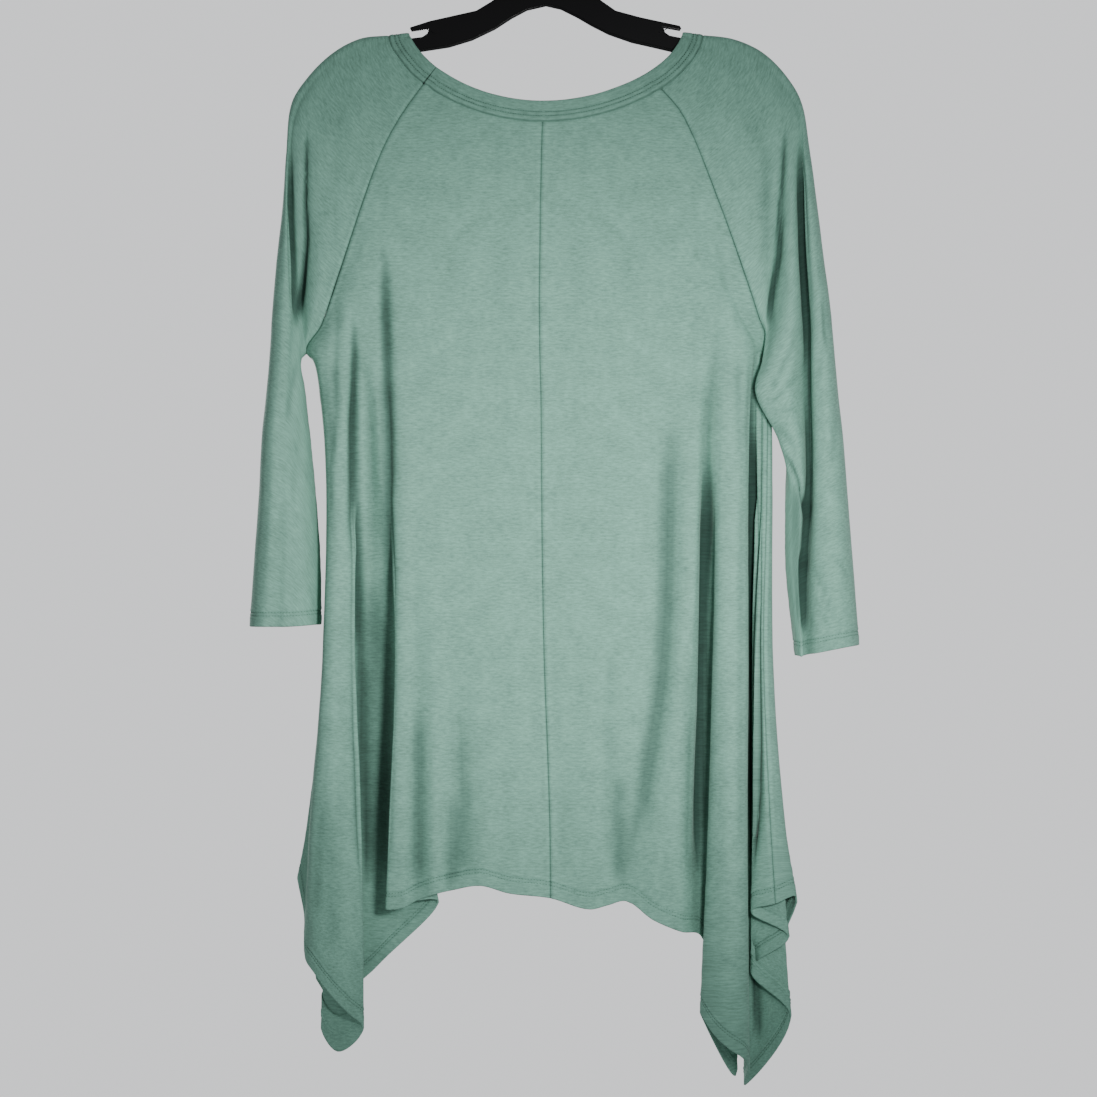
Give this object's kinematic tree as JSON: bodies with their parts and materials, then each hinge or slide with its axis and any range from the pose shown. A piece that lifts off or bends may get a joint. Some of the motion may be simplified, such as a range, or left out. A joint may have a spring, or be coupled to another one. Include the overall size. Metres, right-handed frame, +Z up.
{
  "type": "jersey tunic on its hanger",
  "caption": "Sage jersey tunic with three-quarter raglan sleeves, bound round neck and draped handkerchief hem, hanging on a black plastic hanger with a wire hook.",
  "frame": {"origin": "where the hook's arch bears on a rail: the top of the arch's inner side, on the hanger's centre line", "axes": "+Z up; +X to the right as seen from the garment's back; +Y out of the garment's front, so the back faces -Y"},
  "size_m": [0.5266, 0.0737, 1.0324],
  "materials": {
    "jersey": "fine heathered knit, soft sheen",
    "binding": "doubled knit band, soft sheen",
    "hanger_plastic": "moulded, glossy black",
    "hook_wire": "bright plated wire"
  },
  "bodies": {
    "root": {"back_left": "jersey", "back_right": "jersey", "front": "jersey", "sleeve_left": "jersey", "sleeve_right": "jersey", "neckband": "binding", "hanger": "hanger_plastic", "hook": "hook_wire"}
  },
  "joints": []
}
